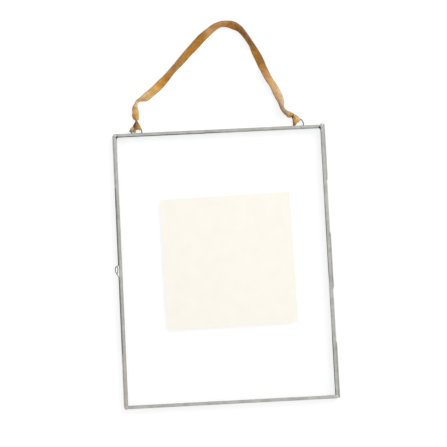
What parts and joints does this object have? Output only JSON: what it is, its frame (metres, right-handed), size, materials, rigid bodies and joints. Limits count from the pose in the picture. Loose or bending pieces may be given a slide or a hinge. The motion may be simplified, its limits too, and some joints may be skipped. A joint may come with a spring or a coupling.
{
  "type": "hanging photo frame",
  "caption": "Hinged double-glass photo frame edged in thin satin metal channel, with a wire latch and a tied ribbon to hang it by.",
  "frame": {"origin": "on the surface that the back of the frame lies on, under the middle of the box round everything but the ribbon", "axes": "+Z out of the front glass, +Y towards the hanging ribbon, +X to the right, where the hinge is"},
  "size_m": [0.2218, 0.392, 0.0095],
  "materials": {
    "satin_metal": "satin zinc-coloured plate with faint rubbed patches and soldered corners",
    "wire_metal": "drawn spring wire, slightly darker than the rails",
    "clear_glass": "clear float glass with a faint green edge",
    "cream_card": "bare uncoated cream card",
    "tan_ribbon": "golden tan velvet ribbon, mottled where the pile is crushed"
  },
  "bodies": {
    "back_frame": {"back_rail_top": "satin_metal", "back_rail_bottom": "satin_metal", "back_rail_left": "satin_metal", "back_rail_right": "satin_metal", "back_glass": "clear_glass", "hinge_tube_top": "satin_metal", "hinge_tube_middle": "satin_metal", "hinge_tube_bottom": "satin_metal", "latch_tube_top": "satin_metal", "latch_tube_bottom": "satin_metal", "hanging_loop_left": "wire_metal", "hanging_loop_right": "wire_metal", "insert_card": "cream_card", "ribbon_tie_left": "tan_ribbon", "ribbon_tie_right": "tan_ribbon", "hanging_ribbon": "tan_ribbon"},
    "front_frame": {"front_rail_top": "satin_metal", "front_rail_bottom": "satin_metal", "front_rail_left": "satin_metal", "front_rail_right": "satin_metal", "front_glass": "clear_glass", "hinge_wire": "wire_metal", "hinge_cleat_upper": "satin_metal", "hinge_cleat_lower": "satin_metal", "latch_keeper": "satin_metal"},
    "latch": {"latch_wire": "wire_metal"}
  },
  "joints": [
    {"name": "door_hinge", "type": "hinge", "parent": "back_frame", "child": "front_frame", "pos_m": [0.10993, 0, 0.00375], "axis": [0, 1, 0], "range_deg": [0, 180]},
    {"name": "latch_swing", "type": "hinge", "parent": "back_frame", "child": "latch", "pos_m": [-0.10757, 0, 0.0018], "axis": [0, -1, 0], "range_deg": [0, 70]}
  ]
}
